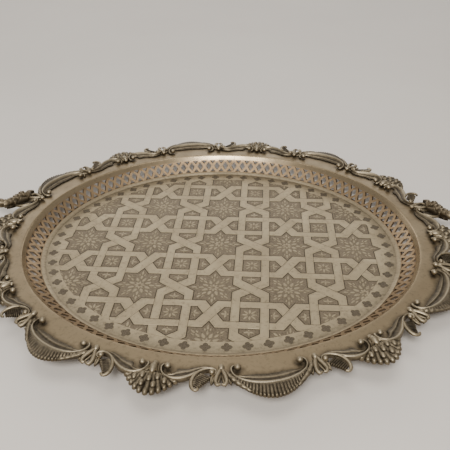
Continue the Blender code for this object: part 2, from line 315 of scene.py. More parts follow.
def aged_plate(name, bright, worn, rough, grain=0.12, speckle=0.4, with_tarnish_and_shading=True):
    """Old silver plate: blotched tone, darkened by the point value for patina in the hollows and painted
    shade, lightened below zero for painted highlight and wear, fine grain.
    """
    material, tree, shader, place = shader_tree(name)
    blotch = noise(tree, place, *BLOTCH_NOISE)
    speck = noise(tree, place, *SPECK_NOISE)
    tone = blend_colour(tree, remap(tree, blotch, *BLOTCH_RANGE), bright, worn)
    tone = blend_colour(tree, remap(tree, speck, *SPECK_RANGE, 0.0, speckle), tone, DARK)
    if with_tarnish_and_shading:
        # Point value: above zero painted shade and patina, below zero painted highlight and wear
        attribute = new_node(tree, "Attribute", {})
        attribute.attribute_name = "tarnish_and_shading"
        uneven = remap(tree, speck, *MIDDLE_RANGE, -UNEVEN_STAIN, UNEVEN_STAIN)
        depth = combine(tree, "ADD", attribute.outputs["Fac"], uneven)
        # Below zero the point value lifts the colour to the pale tone, a painted highlight and wear
        lightened = combine(tree, "MULTIPLY", attribute.outputs["Fac"], -1.0)
        tone = blend_colour(tree, depth, tone, DARK)
        tone = blend_colour(tree, lightened, tone, WEAR_AND_HIGHLIGHT_TONE)
    roughness = remap(tree, blotch, *MIDDLE_RANGE, rough - SMOOTHER, rough + ROUGHER)
    feed(tree, shader, {"Base Color": tone, "Metallic": PLATE_METALLIC, "Roughness": roughness})
    add_bump(tree, shader, noise(tree, place, *GRAIN_NOISE), grain)
    return material


def stippled_ground(name, dark, pale):
    """Engraved ground: close punched dots on a darkened field, rubbed pale in places."""
    material, tree, shader, place = shader_tree(name)
    dots = new_node(tree, "TexVoronoi", {"Vector": place, "Scale": DOT_SCALE})
    dot = remap(tree, dots.outputs["Distance"], *DOT_RANGE)
    lightened = remap(tree, noise(tree, place, *RUB_NOISE), *RUB_RANGE, 0.0, RUB_PALE)
    field = blend_colour(tree, combine(tree, "MULTIPLY", dot, DOT_PALE), dark, pale)
    tone = blend_colour(tree, lightened, field, pale)
    roughness = remap(tree, dot, 0.0, 1.0, *DOT_ROUGHNESS)
    feed(tree, shader, {"Base Color": tone, "Metallic": GROUND_METALLIC, "Roughness": roughness})
    add_bump(tree, shader, dot, DOT_BUMP)
    return material


def pale_floor(name):
    """Plain floor of the stage, faintly mottled."""
    material, tree, shader, place = shader_tree(name)
    mottle = remap(tree, noise(tree, place, *STUDIO_NOISE), *MIDDLE_RANGE)
    tone = blend_colour(tree, mottle, *STUDIO_TONES)
    feed(tree, shader, {"Base Color": tone, "Roughness": STUDIO_ROUGHNESS})
    return material


FLANGE_METAL = aged_plate("aged_flange", (0.306, 0.233, 0.138), (0.265, 0.199, 0.117), 0.44, speckle=0.2)
# Gallery plate tinted redder than the flange: a painted reflection of warm wood
GALLERY_METAL_WARM_REFLECTION = aged_plate("aged_gallery_warm_reflection", (0.360, 0.248, 0.140), (0.295, 0.202, 0.112), 0.40)
FOOT_METAL = aged_plate("aged_foot", (0.360, 0.285, 0.178), (0.315, 0.248, 0.154), 0.46, speckle=0.3)
MARGIN_METAL = aged_plate("aged_margin", (0.372, 0.284, 0.172), (0.322, 0.244, 0.148), 0.27, 0.06, 0.2)
# Near-black metal of the hole walls: painted shade for the dark holes
PIERCED_EDGE_SHADE = aged_plate("pierced_edge_painted_shade", (0.095, 0.062, 0.034), (0.070, 0.045, 0.025), 0.60)
BAND_METAL = aged_plate("aged_bands", (0.455, 0.368, 0.232), (0.395, 0.318, 0.200), 0.48, speckle=0.3)
CASTING_METAL = aged_plate("aged_casting", (0.350, 0.284, 0.185), (0.262, 0.209, 0.133), 0.42, 0.4)
HANDLE_METAL = aged_plate("aged_handle", (0.290, 0.228, 0.145), (0.195, 0.150, 0.094), 0.42, 0.4)
SCREW_METAL = aged_plate("aged_brass", (0.42, 0.30, 0.13), (0.31, 0.22, 0.10), 0.46, with_tarnish_and_shading=False)
GROUND = stippled_ground("engraved_ground", (0.125, 0.096, 0.062), (0.250, 0.197, 0.130))
FLOWER = stippled_ground("engraved_flower", (0.085, 0.066, 0.043), (0.165, 0.130, 0.086))
OUTLINE = stippled_ground("engraved_line", (0.055, 0.041, 0.025), (0.105, 0.080, 0.051))


# Base: floor sheet, strapwork and engraved motifs

RING_STEPS = 360
FLOOR_EDGE = -GALLERY_LEAN
FLOOR_LIP = 0.8 * MM
FLOOR_ROUND = 0.3 * MM
FLOOR_EDGE_DARKNESS = 0.55
FLOOR_PITCH = 56.8 * MM
FIELD_SHIFT = (-0.6 * MM, 0.4 * MM)
FIELD_EDGE = FLOOR_EDGE - 0.218 * PITCH
FIELD_HALVES = (FOLD_HALF_LENGTH + FIELD_EDGE, FOLD_HALF_WIDTH + FIELD_EDGE)
BAND_RISE = 0.10 * MM
LINE_RISE = 0.03 * MM

# Straps, in pitches of the floor's lattice, with profiles of share aside, share of the rise and stain
BAND_OFFSET = 0.187
BAND_CORNER = 0.374
STRAIGHT_HALF = 0.055
SLANT_HALF = 0.071
LINE_EXTRA = 0.014
UNDER_GAP = 0.004
STRAP_STEP = 0.05
STRAP_REACH = 4
HALF_CELL = 0.5
STRAP_PROFILE = ((-1.0, 0.0, 0.5), (-0.96, 1.0, 0.0), (-0.80, 1.0, 0.0), (-0.75, 0.72, 0.3),
                 (-0.70, 1.0, 0.0), (0.70, 1.0, 0.0), (0.75, 0.72, 0.3), (0.80, 1.0, 0.0),
                 (0.96, 1.0, 0.0), (1.0, 0.0, 0.5))
LINE_PROFILE = ((-1.0, 0.0, 0.0), (-0.95, 1.0, 0.0), (0.95, 1.0, 0.0), (1.0, 0.0, 0.0))

# Petals of the motifs, in pitches: near end, far end, width, and turn in radians
MOTIF_REACH = 3
STAR_POINTS = 8
STAR_ROSETTES = ((0.018, 0.075, 0.040, 0.0), (0.075, 0.165, 0.060, math.pi / 8),
                 (0.125, 0.205, 0.045, 0.0))
STAR_LEAVES = ((0.215, 0.300, 0.040), (0.215, 0.292, 0.040))
STAR_SIDE_LEAF = (0.195, 0.245, 0.024)
STAR_SIDE_TURN = 0.16
CROSS_ENDS = 4
CROSS_ROSETTES = ((0.022, 0.098, 0.040, 0.0), (0.026, 0.112, 0.038, math.pi / 4))
BUD_PLACE = 0.295
BUD_PETALS = ((0.000, 0.072, 0.040, 0.0), (0.004, 0.070, 0.036, -1.25), (0.004, 0.070, 0.036, 1.25),
              (0.004, 0.036, 0.020, math.pi))
PETAL_STEPS = 7
PETAL_SHARES = (-1.0, -0.55, 0.0, 0.55, 1.0)
PETAL_ROUND = 0.8
PETAL_STAIN = 0.12
PETAL_EDGE_STAIN = 0.5
PETAL_GAP = 0.02 * MM
PETAL_RISE = 0.14 * MM

# Flowers round the field
FLOWER_RING = FLOOR_EDGE - 0.132 * PITCH
FLOWER_START = 0.75 * PERIMETER - 1.0 * MM
FLOWER_COUNT = 58
FLOWER_STEPS = 24
FLOWER_SHARES = (0.0, 0.55, 1.0)
FLOWER_WAIST = 0.047 * PITCH
FLOWER_PETAL = 0.024 * PITCH
FLOWER_RISE = 0.07 * MM
FLOWER_FALL = 0.05 * MM


def floor_sheet():
    """Oval sheet: plain metal round the edge, stippled ground inside."""
    edge = WALL_WIDTH + FLOOR_LIP + FLOOR_EDGE
    # The plain edge ring darkens towards the foot of the gallery wall
    loops = ((FIELD_EDGE, FLOOR_TOP, 0.0), (edge - FLOOR_ROUND, FLOOR_TOP, FLOOR_EDGE_DARKNESS),
             (edge, FLOOR_TOP - FLOOR_ROUND, 0.0), (edge, BASE_UNDER + FLOOR_ROUND, 0.0),
             (edge - FLOOR_ROUND, BASE_UNDER, 0.0))
    outs, heights, stains = np.array(loops).T[..., None]
    sheet = Sculpt()
    sheet.grid(rim_points(round_rim(RING_STEPS), outs, heights), stains, wrap=True)
    piece = make_piece("floor_sheet", sheet, BAND_METAL, ["base_plate"])
    piece.data.materials.append(GROUND)
    field = piece.data.polygons[len(sheet.faces) - 2]
    field.material_index = 1


def crossing(point, way, place, line):
    """Where a line through a point meets another through a place."""
    matrix = np.stack((way, -line), axis=1)
    return point + way * np.linalg.solve(matrix, place - point)[0]


def ribbon_edges(path, halves, start_line, end_line, share):
    """One lengthwise line of a ribbon, at a share of its half width to the left."""
    path = np.asarray(path, dtype=float)
    ways = unit_length(np.diff(path, axis=0))
    starts = path[:-1] + turned(ways) * (np.asarray(halves) * share)[:, None]
    line = [crossing(starts[0], ways[0], path[0], start_line)]
    for index in range(1, len(ways)):
        line.append(crossing(starts[index - 1], ways[index - 1], starts[index], ways[index]))
    line.append(crossing(starts[-1], ways[-1], path[-1], end_line))
    return np.array(line)


def strap_paths():
    """The three strap pieces of one lattice cell, about a crossed-hexagon centre."""
    a, b = BAND_OFFSET, BAND_CORNER
    clear = a + STRAIGHT_HALF + UNDER_GAP
    level = np.array((1.0, 0.0))
    middle = np.array((0.0, HALF_CELL))
    way = unit_length(np.array((a, HALF_CELL - b)))
    over = way * (-1, 1)
    beside = turned(over) * (SLANT_HALF + UNDER_GAP)
    low_end = crossing(middle, way, middle + beside, over)
    high_end = crossing(middle, way, middle - beside, over)
    narrow, wide = STRAIGHT_HALF, SLANT_HALF
    return [
        ([(a, clear), (a, b), (-a, 1 - b), (-a, 1 - clear)], (narrow, wide, narrow), level, level),
        ([(-a, -a + STRAIGHT_HALF + UNDER_GAP), (-a, b), low_end], (narrow, wide), level, over),
        ([high_end, (a, 1 - b), (a, 1 + a - STRAIGHT_HALF - UNDER_GAP)], (wide, narrow), over, level),
    ]


def lattice_sites(reach, shift):
    """Places of the lattice cells within a reach of the middle, in pitches."""
    for i in range(-reach, reach + 1):
        for j in range(-reach, reach + 1):
            yield i + shift, j + shift


def clipped(sculpt, points, heights, tarnish_and_shading):
    """Add a flat grid to the floor, trimmed along the edge of the engraved field."""
    points = points + FIELD_SHIFT
    share = np.hypot(*np.moveaxis(points / FIELD_HALVES, -1, 0))
    marks = np.flatnonzero((share < 1.0).any(axis=1))
    if not len(marks):
        return
    part = slice(max(marks[0] - 1, 0), marks[-1] + 2)
    inside = points / np.maximum(share, 1.0)[..., None]
    heights = np.broadcast_to(heights, share.shape)
    sculpt.grid(raised(inside, heights)[part], np.broadcast_to(tarnish_and_shading, share.shape)[part])


def strapwork(name, profile, extra, rise, material):
    """Interlaced straps of every lattice cell of the floor."""
    straps = Sculpt()
    shares, levels, stains = np.asarray(profile).T
    for quarter in (0, 1):
        for path, halves, start, end in strap_paths():
            halves = [half + extra for half in halves]
            lines = [ribbon_edges(path, halves, start, end, share) for share in shares]
            corners = np.stack(lines, axis=1)
            pieces = []
            for first, second in zip(corners, corners[1:]):
                cuts = max(2, int(np.linalg.norm(second - first, axis=1).mean() / STRAP_STEP))
                part = np.linspace(0, 1, cuts + 1)[:, None, None]
                pieces.append((first + (second - first) * part)[:-1])
            cell = np.concatenate(pieces + [corners[-1:]])
            for place in lattice_sites(STRAP_REACH, HALF_CELL):
                points = (turned(cell, quarter) + place) * FLOOR_PITCH
                clipped(straps, points, FLOOR_TOP + rise * levels[None, :], stains[None, :])
    make_piece(name, straps, material, smooth=ENGRAVED_SMOOTH)


def petal(sculpt, middle, angle, near, far, width):
    """A small raised petal that points away from a motif's middle."""
    steps = np.linspace(0, 1, PETAL_STEPS)
    half = width / 2 * np.sin(math.pi * steps ** PETAL_ROUND) ** PETAL_ROUND
    way = np.array((math.cos(angle), math.sin(angle)))
    spine = np.asarray(middle) + way * (near + (far - near) * steps)[:, None]
    shares = np.array(PETAL_SHARES)
    flat = (spine[:, None, :] + turned(way) * (half[:, None] * shares)[..., None]) * FLOOR_PITCH
    dome = (1 - shares ** 2)[None, :] * np.sin(math.pi * steps)[:, None] ** 0.5
    stain = PETAL_STAIN + PETAL_EDGE_STAIN * shares[None, :] ** 2
    clipped(sculpt, flat, FLOOR_TOP + PETAL_GAP + PETAL_RISE * dome, stain)


def rosette(sculpt, middle, count, near, far, width, turn):
    """Even petals all round a motif's middle."""
    for index in range(count):
        petal(sculpt, middle, turn + index * math.tau / count, near, far, width)


def star_motif(sculpt, middle):
    """Flower of the eight-pointed star: three rings of petals, and three leaves in each point."""
    for ring in STAR_ROSETTES:
        rosette(sculpt, middle, STAR_POINTS, *ring)
    for index in range(STAR_POINTS):
        angle = index * math.tau / STAR_POINTS
        petal(sculpt, middle, angle, *STAR_LEAVES[index % 2])
        for turn in (-STAR_SIDE_TURN, STAR_SIDE_TURN):
            petal(sculpt, middle, angle + turn, *STAR_SIDE_LEAF)


def cross_motif(sculpt, middle):
    """Rosette of the crossed hexagons, with a bud of four petals in each of their four ends."""
    for ring in CROSS_ROSETTES:
        rosette(sculpt, middle, CROSS_ENDS, *ring)
    for index in range(CROSS_ENDS):
        angle = index * math.tau / CROSS_ENDS
        bud = np.asarray(middle) + np.array((math.cos(angle), math.sin(angle))) * BUD_PLACE
        for near, far, width, turn in BUD_PETALS:
            petal(sculpt, bud, angle + turn, near, far, width)


def engraved_motifs():
    """Flowers inside the stars and the crossed hexagons."""
    motifs = Sculpt()
    for middle in lattice_sites(MOTIF_REACH, 0.0):
        star_motif(motifs, middle)
    for middle in lattice_sites(MOTIF_REACH, HALF_CELL):
        cross_motif(motifs, middle)
    make_piece("engraved_motifs", motifs, BAND_METAL, smooth=PETAL_SMOOTH)


def flower_ring():
    """Ring of small dark four-petalled flowers round the engraved field."""
    flowers = Sculpt()
    turns = np.linspace(0, math.tau, FLOWER_STEPS + 1)
    shares = np.array(FLOWER_SHARES)[:, None]
    reach = FLOWER_WAIST + FLOWER_PETAL * np.abs(np.cos(2 * turns))
    for index in range(FLOWER_COUNT):
        middle = rim_points(FLOWER_START + index * PERIMETER / FLOWER_COUNT, FLOWER_RING, FLOOR_TOP)
        facing = math.atan2(middle[1], middle[0])
        x = middle[0] + shares * reach * np.cos(turns + facing)
        y = middle[1] + shares * reach * np.sin(turns + facing)
        height = FLOOR_TOP + FLOWER_RISE - FLOWER_FALL * shares + 0 * x
        flowers.grid(np.stack((x, y, height), axis=-1))
    make_piece("flower_ring", flowers, FLOWER)


# Gallery

LATTICE_PITCH = 9.0 * MM
LATTICE_BAR = 2.4 * MM
BAR_STRAIGHT = 0.72
BAR_SAMPLES = 41
TRIANGLE_STEPS = 8
OVAL_STEPS = 13
FOOT_MARGIN = 2.2 * MM
TOP_MARGIN = 5.0 * MM
HOLE_CLEARANCE = 0.6 * MM
PIERCED_TOP = GALLERY_SLANT - TOP_MARGIN + HOLE_CLEARANCE
MARGIN_ROWS = 12
WALL_SAMPLES = 201
WALL_SHARES = (0.0, 0.66, 0.72, 0.95, 1.0)
WALL_ANGLES = np.radians((43.0, 43.0, 60.0, 58.0, 10.0))
ROLL_REACH = 1.0 * MM
ROLL_TOP = FLANGE_TOP - 0.30 * MM
WELD = 0.005 * MM
BACK_PAINTED_SHADE = 0.30
WALL_FOOT_DARKNESS = 0.25
EDGE_INDEX = 1
MARGIN_INDEX = 2

# Foot moulding: millimetres out from the fold, millimetres up from the floor, and darkening, strongest where
# it meets the floor and the wall
FOOT_PROFILE = ((-15.60, -0.10, 0.9), (-15.55, 0.12, 0.7), (-15.30, 0.24, 0.3), (-13.90, 0.92, 0.12),
                (-12.35, 1.75, 0.05), (-12.15, 1.75, 0.3), (-12.00, 1.55, 0.6), (-12.60, -0.10, 0.6))


def bar_line(share, half):
    """Distance of the curved bar from its crossing, at a share of half the lattice height."""
    curve = 1 - np.cos(math.pi / 2 * share)
    return half * (BAR_STRAIGHT * np.abs(share) + (1 - BAR_STRAIGHT) * curve)


def pierced_tile(pitch):
    """Flat outline loops of one lattice period: two triangles and a pointed oval."""
    half = pitch / 2
    low = FOOT_MARGIN
    high = GALLERY_SLANT - TOP_MARGIN
    middle = (low + high) / 2
    rise = (high - low) / 2
    aside = LATTICE_BAR / 2 * math.hypot(half, rise) / rise
    shares = np.linspace(0, 1, BAR_SAMPLES)
    lines = bar_line(shares, half)
    start = np.interp(aside, lines, shares)
    stop = np.interp(half - aside, lines, shares)
    up = np.linspace(start, 1.0, TRIANGLE_STEPS)
    arc = np.linspace(-stop, stop, OVAL_STEPS)
    cuts = np.linspace(-1, 1, OVAL_STEPS)
    upper = [(bar_line(s, half) - aside, middle + rise * s) for s in up]
    upper += [(-x, y) for x, y in reversed(upper[1:])]
    lower = [(x, 2 * middle - y) for x, y in upper]
    left = [(bar_line(s, half) + aside, middle + rise * s) for s in arc]
    oval = left + [(pitch - x, y) for x, y in reversed(left[1:-1])]
    bar = [(-bar_line(s, half), middle + rise * s) for s in cuts]
    edge = [(-half, 0.0)] + bar + [(-half, PIERCED_TOP)]
    outline = edge + [(x + pitch, y) for x, y in reversed(edge)]
    return outline, upper, lower, oval


def tile_mesh(loops):
    """Flat mesh of an outline with holes."""
    curve = bpy.data.curves.new("tile", "CURVE")
    curve.dimensions = "2D"
    curve.fill_mode = "BOTH"
    for loop in loops:
        spline = curve.splines.new("POLY")
        spline.points.add(len(loop) - 1)
        for point, place in zip(spline.points, loop):
            point.co = (*place, 0.0, 1.0)
        spline.use_cyclic_u = True
    holder = bpy.data.objects.new("tile", curve)
    bpy.context.scene.collection.objects.link(holder)
    depsgraph = bpy.context.evaluated_depsgraph_get()
    mesh = bpy.data.meshes.new_from_object(holder.evaluated_get(depsgraph))
    bpy.data.objects.remove(holder)
    return mesh


def wall_profile(share):
    """Distance out and height at a share of the slant: straight, then steeper, then rolled over."""
    steps = np.linspace(0, 1, WALL_SAMPLES)
    angles = np.interp(steps, WALL_SHARES, WALL_ANGLES)
    out = np.cumsum(np.cos(angles)) - np.cos(angles[0])
    rise = np.cumsum(np.sin(angles)) - np.sin(angles[0])
    outs = np.interp(share, steps, out / out[-1]) * (GALLERY_LEAN + ROLL_REACH) - GALLERY_LEAN
    heights = GALLERY_FOOT + np.interp(share, steps, rise / rise[-1]) * (ROLL_TOP - GALLERY_FOOT)
    return outs, heights


def gallery_strip(name, start):
    """Pierced half of the gallery, with its holes bent to the leaning oval."""
    length = PERIMETER / 2 - SEAT_GAP
    count = round(length / LATTICE_PITCH)
    pitch = length / count
    tile = tile_mesh(pierced_tile(pitch))
    strip = bmesh.new()
    for index in range(count):
        known = len(strip.verts)
        strip.from_mesh(tile)
        strip.verts.ensure_lookup_table()
        bmesh.ops.translate(strip, verts=strip.verts[known:], vec=(index * pitch, 0.0, 0.0))
    rows = [[strip.verts.new(((index - 0.5) * pitch, rise, 0.0)) for index in range(count + 1)]
            for rise in np.linspace(PIERCED_TOP, GALLERY_SLANT, MARGIN_ROWS)]
    for low, high in zip(rows, rows[1:]):
        for index in range(count):
            strip.faces.new((low[index], low[index + 1], high[index + 1], high[index]))
    bmesh.ops.remove_doubles(strip, verts=strip.verts, dist=WELD)
    grown = bmesh.ops.extrude_face_region(strip, geom=strip.faces[:])
    outer = [item for item in grown["geom"] if isinstance(item, bmesh.types.BMVert)]
    bmesh.ops.translate(strip, verts=outer, vec=(0.0, 0.0, WALL_WIDTH))
    strip.verts.index_update()
    flat = np.array([vert.co for vert in strip.verts])
    wall = Sculpt()
    wall.faces = [[vert.index for vert in face.verts] for face in strip.faces]
    strip.free()
    out, height = wall_profile(flat[:, 1] / GALLERY_SLANT)
    wall.points = rim_points(start + flat[:, 0], out + flat[:, 2], height)
    foot = np.clip(1 - flat[:, 1] / FOOT_MARGIN, 0, 1)
    # Outer face, and the hole walls towards it, darkened as painted shade; the wall also darker towards its
    # foot
    wall.tarnish_and_shading = BACK_PAINTED_SHADE * (flat[:, 2] > 0) + WALL_FOOT_DARKNESS * foot
    piece = make_piece(name, wall, GALLERY_METAL_WARM_REFLECTION, ["gallery_" + name], PIERCED_SMOOTH)
    piece.data.materials.append(PIERCED_EDGE_SHADE)
    piece.data.materials.append(MARGIN_METAL)
    # Margin faces take the margin metal; hole walls take the near-black painted shade
    for polygon, face in zip(piece.data.polygons, wall.faces):
        rise = flat[face, 1].mean()
        if rise > PIERCED_TOP:
            polygon.material_index = MARGIN_INDEX
        elif np.ptp(flat[face, 2]) > 0 and rise > FOOT_MARGIN / 2:
            polygon.material_index = EDGE_INDEX


def gallery_foot():
    """Plain hollow moulding where the gallery meets the floor."""
    along = np.append(round_rim(RING_STEPS), PERIMETER)[:, None]
    outs, rises, stains = np.asarray(FOOT_PROFILE).T
    foot = Sculpt()
    foot.grid(rim_points(along, outs * MM, FLOOR_TOP + rises * MM), stains, wrap=True, cap=False)
    make_piece("gallery_foot", foot, FOOT_METAL)


# Flange

SHELL_STATIONS = [0.0] + [SHORT_BAY + bay * LONG_BAY for bay in range(LONG_BAYS)]
SHELL_STATIONS += [PERIMETER / 2 + station for station in SHELL_STATIONS]
SCROLL_STATIONS = [SHORT_BAY + (bay + 0.5) * LONG_BAY for bay in range(LONG_BAYS)]
SCROLL_STATIONS += [PERIMETER / 2 + station for station in SCROLL_STATIONS]
FOOT_STATIONS = [sign * FOOT_STATION + end * PERIMETER / 2 for end in (0, 1) for sign in (1, -1)]
VALLEY_REACH = 13.5 * MM
FLANGE_STEPS = 720
FLANGE_ROWS = 18
FLANGE_START = 0.2
FLANGE_DISH = 0.25 * MM
FLANGE_ROUND = 0.4 * MM
FLANGE_BELLY = 0.6
LIP_UNDER = 0.9 * MM
SHADE_DIRT_REACH = 2.2 * MM
SHADE_DIRT_DARKNESS = 0.7
SHADE_DIRT_SKIP = 7

# Inner lip: millimetres out from the fold, and millimetres up from the flange's top
FLANGE_LIP = ((0.40, -1.0), (0.45, -0.4), (0.65, -0.16), (0.9, -0.07), (1.3, -0.02), (2.0, 0.0))

# Swells of the outer edge: stations, half width, and reach at the crown
FLANGE_SWELLS = [(SHELL_STATIONS, 19.0 * MM, 18.5 * MM), (SCROLL_STATIONS, 24.0 * MM, 25.5 * MM),
                 (FOOT_STATIONS, 10.5 * MM, 32.0 * MM)]


def flange_reach(along):
    """How far the flange runs out, at each length along the fold."""
    reach = np.full_like(along, VALLEY_REACH)
    for stations, width, peak in FLANGE_SWELLS:
        for station in stations:
            away = np.abs(short_way(along - station))
            crown = np.sqrt(np.cos(np.minimum(away / width, 1.0) * math.pi / 2))
            reach = np.maximum(reach, VALLEY_REACH + (peak - VALLEY_REACH) * crown)
    return reach


def casting_shade_and_dirt(along, outs, castings):
    """Darkening on the flange beside the castings, partly dirt and partly painted shade, at each length
    along the fold and distance out.
    """
    gap = np.full(outs.shape, np.inf)
    for _, unit, stations in castings:
        spots = unit.points[::SHADE_DIRT_SKIP]
        width = np.abs(spots[:, 0]).max() + 3 * SHADE_DIRT_REACH
        for station in stations:
            aside = short_way(station - along)
            close = np.flatnonzero(np.abs(aside) < width)
            away = np.hypot(aside[close, None, None] - spots[:, 0], outs[close, :, None] - spots[:, 1])
            gap[close] = np.minimum(gap[close], away.min(axis=2))
    return SHADE_DIRT_DARKNESS * np.exp(-(gap / SHADE_DIRT_REACH) ** 2)


def flange(castings):
    """Flat ring whose inner lip covers the rolled top of the gallery."""
    along = np.append(round_rim(FLANGE_STEPS), PERIMETER)
    reach = flange_reach(along)[:, None]
    even = np.ones_like(reach)
    near, rise = np.array(FLANGE_LIP).T * MM
    shares = np.linspace(FLANGE_START, 1.0, FLANGE_ROWS)
    edge = (reach, reach - FLANGE_ROUND, LIP_UNDER * even)
    outs = np.concatenate((near * even, shares * reach, *edge), axis=1)
    dish = -FLANGE_DISH * np.sin(np.linspace(0.0, math.pi, FLANGE_ROWS))
    sheet = FLANGE_TOP - FLANGE_UNDER
    heights = FLANGE_TOP + np.concatenate((rise, dish, (-FLANGE_BELLY * sheet, -sheet, -sheet)))
    points = rim_points(along[:, None], outs, heights[None, :])
    ring = Sculpt()
    # The flange darkens beside the castings: dirt and painted shade
    ring.grid(points, casting_shade_and_dirt(along, outs, castings), wrap=True, cap=False)
    make_piece("flange", ring, FLANGE_METAL, ["rim_flange"])


# Border castings, sculpted straight in millimetres along the rim, out from the fold, and up

STEM_SIDES = 10
STEM_PAINTED_SHADING = 0.55
PEARL_SIDES = 16
PEARL_RINGS = 9
PEARL_PAINTED_SHADING = 0.85
PEARL_PAINTED_HIGHLIGHT = 0.05
LOBE_STEPS = 10
LOBE_ROWS = 25
LOBE_SHEET = 1.3
LOBE_LEAST = 0.5
CREST_ROUND = 0.6
CREST_LEVEL = 0.4
SWELL_START = 0.06
BEAD_PLACE = 0.88
BEAD_WIDTH = 0.10
RIM_START = 0.90
RIM_DROP = 0.8
ROOT_WIDTH = 0.12
LOBE_GLINT = 0.35
# Undersides of lobes and leaves drawn darker
UNDERSIDE_DARKNESS = 0.8
LEAF_ALONG = 16
LEAF_ACROSS = 11
LEAF_START = 0.10
LEAF_SIDE = 0.35
LEAF_GROOVE = 0.35
GROOVE_WIDTH = 0.22
LEAF_UNDER = -0.4
LEAF_EDGE_STAIN = 0.75
LEAF_RIB_STAIN = 0.8
LEAF_RIB_WIDTH = 0.2
LEAF_GLINT = 0.10

# Scroll profile: cove in shares of the width and ridge in millimetres, share of the height, and stain:
# patina and painted shade dark in the cove and along its inner edge, painted highlight and wear light on the
# reed and the ridge top
COVE = ((-1.00, -0.06, 0.95), (-1.00, 0.12, 0.9), (-0.96, 0.22, 0.9), (-0.88, 0.24, 0.75),
        (-0.78, 0.26, 0.65), (-0.72, 0.34, 0.55), (-0.67, 0.46, 0.35), (-0.62, 0.50, 0.15),
        (-0.57, 0.47, 0.40), (-0.52, 0.38, 0.80), (-0.44, 0.36, 0.88), (-0.34, 0.42, 0.82),
        (-0.24, 0.56, 0.65), (-0.15, 0.76, 0.3), (-0.08, 0.93, -0.05))
RIDGE = ((0.0, 1.00, -0.2), (0.50, 0.97, -0.1), (0.85, 0.84, 0.25), (1.10, 0.55, 0.65), (1.20, -0.06, 0.85))


def sideways(line):
    """The left-hand direction at each point of a flat path."""
    return turned(unit_length(np.gradient(line, axis=0)))


def moulding(sculpt, path, width, height, count=110):
    """Sweep a scroll along a path: a reed and a cove to its right, a ridge on the path."""
    line = smooth_path(path, count)
    side = sideways(line)
    cove_out, cove_rise, cove_patina_and_shading = np.asarray(COVE).T
    ridge_out, ridge_rise, ridge_wear_and_shading = np.asarray(RIDGE).T
    wide = spread(width, count)[:, None]
    tall = spread(height, count)[:, None]
    across = np.concatenate((cove_out * wide, ridge_out + 0 * wide), axis=1)
    rise = np.concatenate((cove_rise, ridge_rise)) * tall
    flat = line[:, None, :] + side[:, None, :] * across[..., None]
    sculpt.grid(raised(flat, rise) * MM, np.concatenate((cove_patina_and_shading, ridge_wear_and_shading)), wrap=True)


def tendril(sculpt, path, radius, height, count=36, shade=0.40):
    """A round tapering stem along a path."""
    line = smooth_path(path, count)
    turn = np.arange(STEM_SIDES) * math.tau / STEM_SIDES
    thick = spread(radius, count)[:, None]
    flat = line[:, None, :] + sideways(line)[:, None, :] * (thick * np.cos(turn))[..., None]
    level = spread(height, count)[:, None] + thick * np.sin(turn)
    # Painted shading: lighter along the top of the stem, darker beneath
    sculpt.grid(raised(flat, level) * MM, np.clip(shade - STEM_PAINTED_SHADING * np.sin(turn), 0, 1), wrap=True)


def pearl(sculpt, place, level, radius, stretch=1.0, shade=0.25):
    """A round bead, or one stretched outwards."""
    x, out = place
    rise = np.linspace(-math.pi / 2, math.pi / 2, PEARL_RINGS)[:, None]
    turn = np.arange(PEARL_SIDES) * math.tau / PEARL_SIDES
    points = np.stack((x + radius * np.cos(rise) * np.cos(turn),
                       out + stretch * radius * np.cos(rise) * np.sin(turn),
                       level + radius * np.sin(rise) + 0 * turn), axis=-1)
    # Painted shading: lighter on top with a faint painted highlight at the very top, darker beneath
    sculpt.grid(points * MM, np.clip(shade - PEARL_PAINTED_SHADING * np.sin(rise), -PEARL_PAINTED_HIGHLIGHT, 1), wrap=True)


def lobes(sculpt, root, edge, count, levels, bulge, notch, tip, dark, glint):
    """A fan of rounded lobes between a root line and an outer edge line, each with a raised tip."""
    columns = count * LOBE_STEPS + 1
    roots = smooth_path(root, columns)
    edges = smooth_path(edge, columns)
    phase = np.linspace(0, count, columns) % 1.0
    crest = np.sin(math.pi * phase) ** CREST_ROUND
    share = np.linspace(0, 1, LOBE_ROWS)[:, None]
    reach = share * (1 - notch * (1 - crest) * share ** 2)
    flat = roots[None] + (edges - roots)[None] * reach[..., None]
    slope = spread(levels, LOBE_ROWS)[:, None]
    swell = np.sin(math.pi * (SWELL_START + (1 - 2 * SWELL_START) * share)) ** 0.8
    bead = np.exp(-((share - BEAD_PLACE) / BEAD_WIDTH) ** 2) * crest ** 2
    rim = np.clip((share - RIM_START) / (1 - RIM_START), 0, 1) ** 2
    top = slope + bulge * (crest - CREST_LEVEL) * swell + tip * bead - RIM_DROP * rim
    # Painted highlight on the crests, the raised tips and the root; darker between the lobes
    stain = dark - glint * crest - LOBE_GLINT * (bead + np.exp(-(share / ROOT_WIDTH) ** 2))
    under = np.minimum(slope - LOBE_SHEET, top - LOBE_LEAST)
    loop = np.concatenate((raised(flat, top), raised(flat, under)[::-1])).transpose(1, 0, 2)
    mark = np.concatenate((np.clip(stain, 0, 1), np.full_like(stain, UNDERSIDE_DARKNESS))).T
    sculpt.grid(loop * MM, mark, wrap=True)


